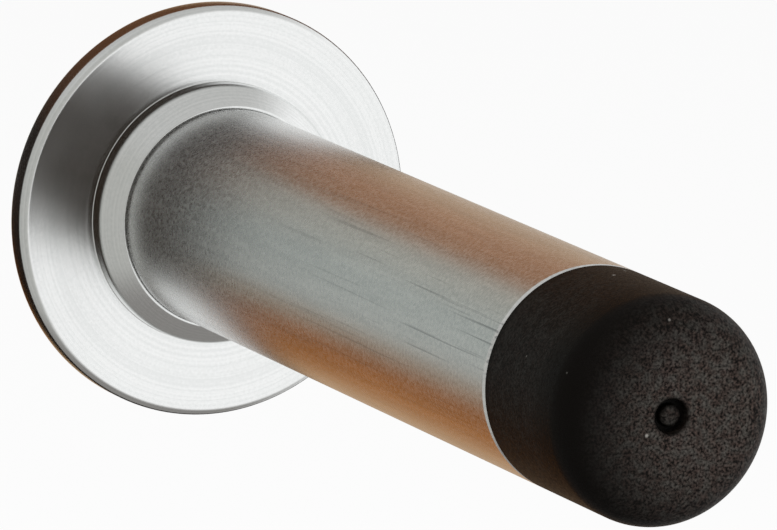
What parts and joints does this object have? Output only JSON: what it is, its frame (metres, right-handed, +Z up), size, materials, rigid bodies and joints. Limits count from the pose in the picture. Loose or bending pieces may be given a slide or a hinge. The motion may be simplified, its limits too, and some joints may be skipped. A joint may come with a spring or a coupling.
{
  "type": "wall door stop",
  "caption": "Straight wall door stop: round turned rose with a low hub, plain satin bar stem and a flush black rubber buffer, held to the wall by a concealed double-ended screw",
  "frame": {"origin": "The centre of the rose's bearing rim, in the plane of the wall", "axes": "+Z is up. The stop reaches out from the wall along -Y, and its screw goes into the wall along +Y"},
  "size_m": [0.038, 0.128, 0.038],
  "materials": {
    "rose": "fine turned",
    "stem": "satin",
    "buffer": "matte moulded",
    "hanger_bolt": "zinc plated"
  },
  "bodies": {
    "root": {"rose": "rose", "stem": "stem", "buffer": "buffer", "hanger_bolt": "hanger_bolt"}
  },
  "joints": []
}
